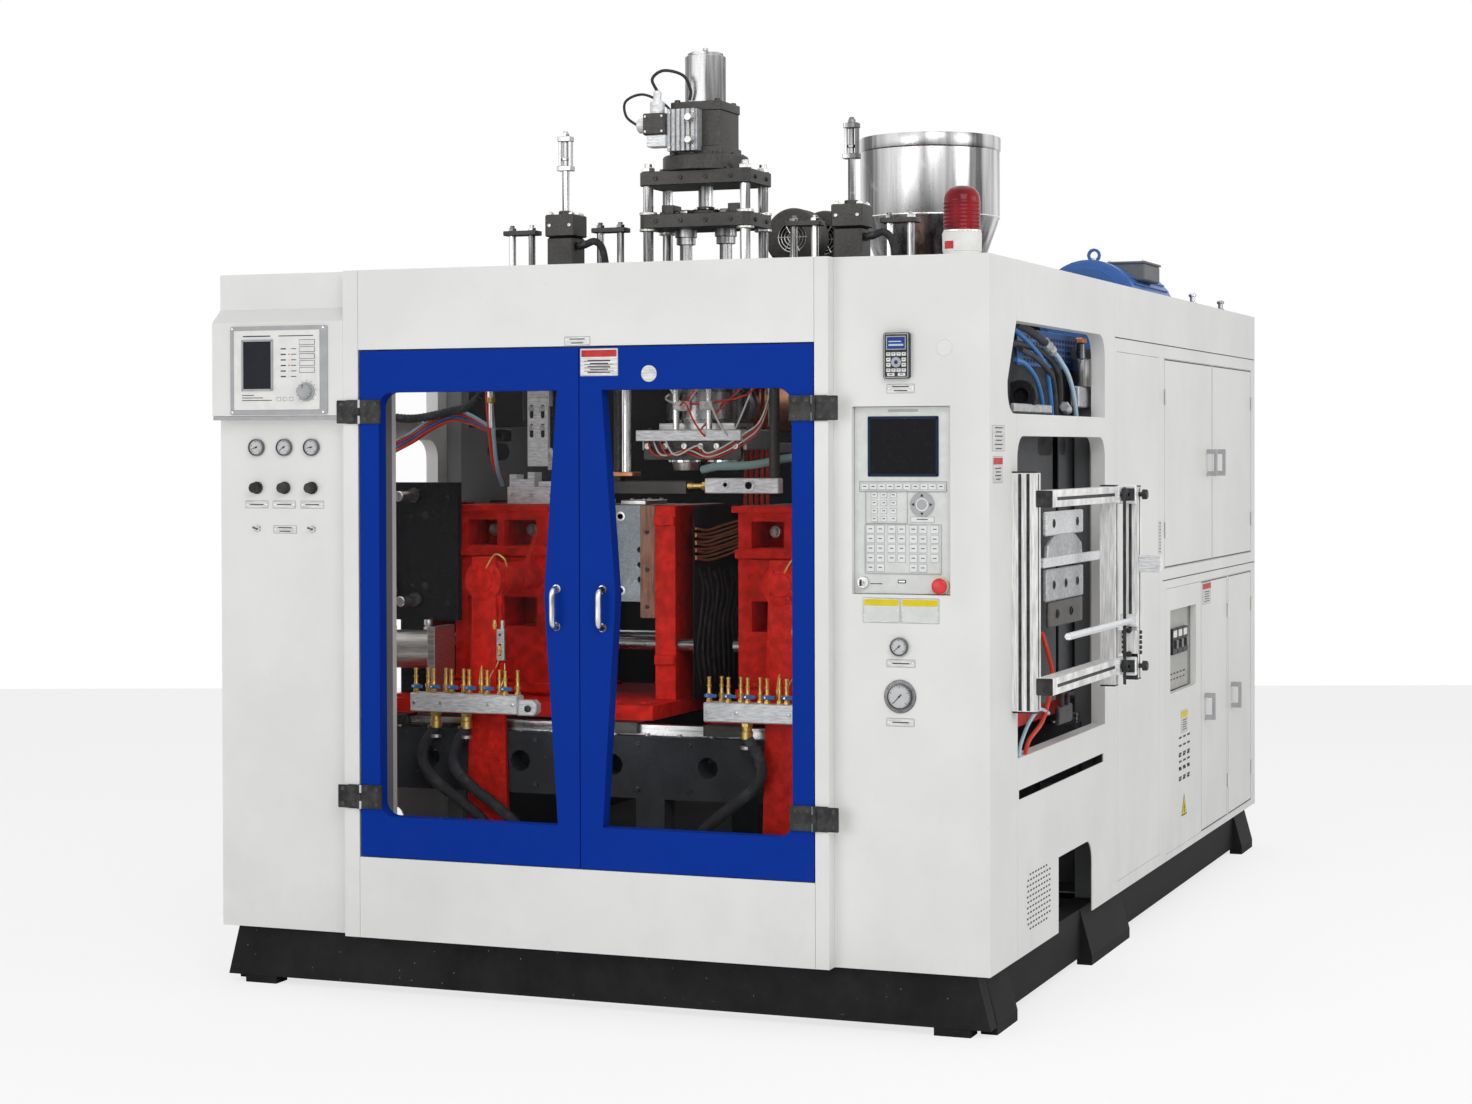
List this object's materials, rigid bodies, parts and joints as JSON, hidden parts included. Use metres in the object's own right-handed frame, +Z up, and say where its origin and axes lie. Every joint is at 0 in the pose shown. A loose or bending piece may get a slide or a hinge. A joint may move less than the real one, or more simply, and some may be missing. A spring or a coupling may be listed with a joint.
{
  "type": "blow moulding machine",
  "caption": "Enclosed twin-station extrusion blow moulding machine with shuttling mould carriages, a parison head, blow pins, an extruder with hopper and glazed front doors.",
  "frame": {"origin": "centre of the overall footprint at floor level", "axes": "+X along the front from left to right, +Y from the front doors towards the rear wall, +Z up"},
  "size_m": [2.251, 3.3866, 2.453],
  "materials": {
    "white_paint": "semi-gloss off-white enamel on folded sheet",
    "door_blue": "semi-gloss cobalt enamel on the two front doors",
    "black_paint": "matt charcoal enamel on welded steel",
    "red_paint": "brushed glossy red enamel on castings and plates",
    "grey_paint": "speckled mid-grey enamel",
    "window_pane": "clear acrylic sheet",
    "chrome_fittings": "polished handles and hinge leaves",
    "steel": "ground and turned steel",
    "aluminium": "extruded and machined aluminium",
    "blue_paint": "blue motor enamel",
    "black_plastic": "moulded black plastic",
    "grey_plastic": "light grey moulded panel units",
    "red_plastic": "red moulded mushroom button",
    "beacon_amber": "translucent red-orange lens",
    "mould_aluminium": "milled mould blocks",
    "brass": "ball valves and elbows"
  },
  "bodies": {
    "machine": {"base_frame": "black_paint", "beacon_base": "black_plastic", "beacon_lens": "beacon_amber", "blow_units": "aluminium", "circuit_breakers": "black_plastic", "control_panel": "grey_plastic", "cooling_blowers": "black_paint", "die_head": "steel", "door_surround": "white_paint", "drive_keypad": "black_plastic", "extruder_barrel": "steel", "extruder_drive": "blue_paint", "head_frame": "steel", "hopper": "steel", "hydraulic_unit": "grey_paint", "left_cabinet": "white_paint", "left_side_wall": "white_paint", "machine_bed": "black_paint", "machine_frame": "grey_paint", "parison_controller": "grey_plastic", "parison_cylinder": "black_paint", "pressure_gauges": "chrome_fittings", "rear_cabinet": "white_paint", "right_cabinet": "white_paint", "right_side_wall": "white_paint", "servo_valve": "aluminium", "take_out_frame": "aluminium"},
    "left_front_door": {"front_door_left": "door_blue", "door_window_left": "window_pane", "door_fittings_left": "chrome_fittings"},
    "right_front_door": {"front_door_right": "door_blue", "door_window_right": "window_pane", "door_fittings_right": "chrome_fittings"},
    "upper_door_front": {"upper_door_front": "white_paint"},
    "upper_door_rear": {"upper_door_rear": "white_paint"},
    "lower_door_front": {"lower_door_front": "white_paint"},
    "lower_door_rear": {"lower_door_rear": "white_paint"},
    "crosshead": {"crosshead": "steel"},
    "blow_rod_1": {"blow_rod_1": "steel"},
    "blow_rod_2": {"blow_rod_2": "steel"},
    "e_stop_button": {"e_stop_button": "red_plastic"},
    "toggle_switch_1": {"toggle_switch_1": "chrome_fittings"},
    "toggle_switch_2": {"toggle_switch_2": "chrome_fittings"},
    "key_switch": {"key_switch": "steel"},
    "regulator_knob_1": {"regulator_knob_1": "black_plastic"},
    "regulator_knob_2": {"regulator_knob_2": "black_plastic"},
    "regulator_knob_3": {"regulator_knob_3": "black_plastic"},
    "jog_knob": {"jog_knob": "black_plastic"},
    "carriage_1": {"carriage_1": "red_paint"},
    "moving_platen_1": {"moving_platen_1": "red_paint", "mould_half_1a": "mould_aluminium", "valve_manifold_1": "brass"},
    "back_platens_1": {"back_platens_1": "red_paint", "mould_half_1b": "mould_aluminium"},
    "carriage_2": {"carriage_2": "red_paint"},
    "moving_platen_2": {"moving_platen_2": "red_paint", "mould_half_2a": "mould_aluminium", "valve_manifold_2": "brass"},
    "back_platens_2": {"back_platens_2": "red_paint", "mould_half_2b": "mould_aluminium"}
  },
  "joints": [
    {"name": "left_front_door_hinge", "type": "hinge", "parent": "machine", "child": "left_front_door", "pos_m": [-0.702, -1.66635, 0.948], "axis": [0, 0, 1], "range_deg": [-110, 0]},
    {"name": "right_front_door_hinge", "type": "hinge", "parent": "machine", "child": "right_front_door", "pos_m": [0.506, -1.66635, 0.948], "axis": [0, 0, 1], "range_deg": [0, 110]},
    {"name": "upper_door_front_hinge", "type": "hinge", "parent": "machine", "child": "upper_door_front", "pos_m": [0.9248, 0.25035, 1.323], "axis": [0, 0, 1], "range_deg": [-110, 0]},
    {"name": "upper_door_rear_hinge", "type": "hinge", "parent": "machine", "child": "upper_door_rear", "pos_m": [0.9248, 1.61735, 1.323], "axis": [0, 0, 1], "range_deg": [0, 110]},
    {"name": "lower_door_front_hinge", "type": "hinge", "parent": "machine", "child": "lower_door_front", "pos_m": [0.9248, 1.20035, 0.56], "axis": [0, 0, 1], "range_deg": [0, 110]},
    {"name": "lower_door_rear_hinge", "type": "hinge", "parent": "machine", "child": "lower_door_rear", "pos_m": [0.9248, 1.61735, 0.56], "axis": [0, 0, 1], "range_deg": [0, 110]},
    {"name": "crosshead_slide", "type": "slide", "parent": "machine", "child": "crosshead", "axis": [0, 0, 1], "range_m": [-0.02, 0.02]},
    {"name": "blow_rod_1_slide", "type": "slide", "parent": "machine", "child": "blow_rod_1", "axis": [0, 0, 1], "range_m": [-0.1, 0]},
    {"name": "blow_rod_2_slide", "type": "slide", "parent": "machine", "child": "blow_rod_2", "axis": [0, 0, 1], "range_m": [-0.1, 0]},
    {"name": "carriage_1_slide", "type": "slide", "parent": "machine", "child": "carriage_1", "axis": [1, 0, 0], "range_m": [-0.1, 0.095]},
    {"name": "carriage_2_slide", "type": "slide", "parent": "machine", "child": "carriage_2", "axis": [1, 0, 0], "range_m": [-0.095, 0.08]},
    {"name": "mould_close_1", "type": "slide", "parent": "carriage_1", "child": "moving_platen_1", "axis": [1, 0, 0], "range_m": [-0.04, 0.0338]},
    {"name": "back_platens_1_slide", "type": "slide", "parent": "carriage_1", "child": "back_platens_1", "axis": [1, 0, 0], "range_m": [-0.0338, 0.04]},
    {"name": "mould_close_2", "type": "slide", "parent": "carriage_2", "child": "moving_platen_2", "axis": [1, 0, 0], "range_m": [-0.04, 0.0338]},
    {"name": "back_platens_2_slide", "type": "slide", "parent": "carriage_2", "child": "back_platens_2", "axis": [1, 0, 0], "range_m": [-0.0338, 0.04]},
    {"name": "e_stop_press", "type": "slide", "parent": "machine", "child": "e_stop_button", "axis": [0, 1, 0], "range_m": [0, 0.005], "stiffness_N_per_m": 2500},
    {"name": "toggle_switch_1_throw", "type": "hinge", "parent": "machine", "child": "toggle_switch_1", "pos_m": [-1.0175, -1.62525, 1.168], "axis": [-1, 0, 0], "range_deg": [0, 28]},
    {"name": "toggle_switch_2_throw", "type": "hinge", "parent": "machine", "child": "toggle_switch_2", "pos_m": [-0.8575, -1.62525, 1.168], "axis": [-1, 0, 0], "range_deg": [0, 28]},
    {"name": "key_switch_turn", "type": "hinge", "parent": "machine", "child": "key_switch", "pos_m": [0.6085, -1.62165, 1.055], "axis": [0, 1, 0], "range_deg": [0, 90]},
    {"name": "regulator_knob_1_turn", "type": "hinge", "parent": "machine", "child": "regulator_knob_1", "pos_m": [-1.0175, -1.62165, 1.273], "axis": [0, 1, 0], "range_deg": [-180, 180]},
    {"name": "regulator_knob_2_turn", "type": "hinge", "parent": "machine", "child": "regulator_knob_2", "pos_m": [-0.9365, -1.62165, 1.273], "axis": [0, 1, 0], "range_deg": [-180, 180]},
    {"name": "regulator_knob_3_turn", "type": "hinge", "parent": "machine", "child": "regulator_knob_3", "pos_m": [-0.8575, -1.62165, 1.273], "axis": [0, 1, 0], "range_deg": [-180, 180]},
    {"name": "jog_knob_turn", "type": "hinge", "parent": "machine", "child": "jog_knob", "pos_m": [-0.8455, -1.67165, 1.516], "axis": [0, 1, 0], "continuous": true}
  ],
  "couplings": [
    {"joint": "back_platens_1_slide", "follows": "mould_close_1", "ratio": -1},
    {"joint": "back_platens_2_slide", "follows": "mould_close_2", "ratio": -1}
  ]
}
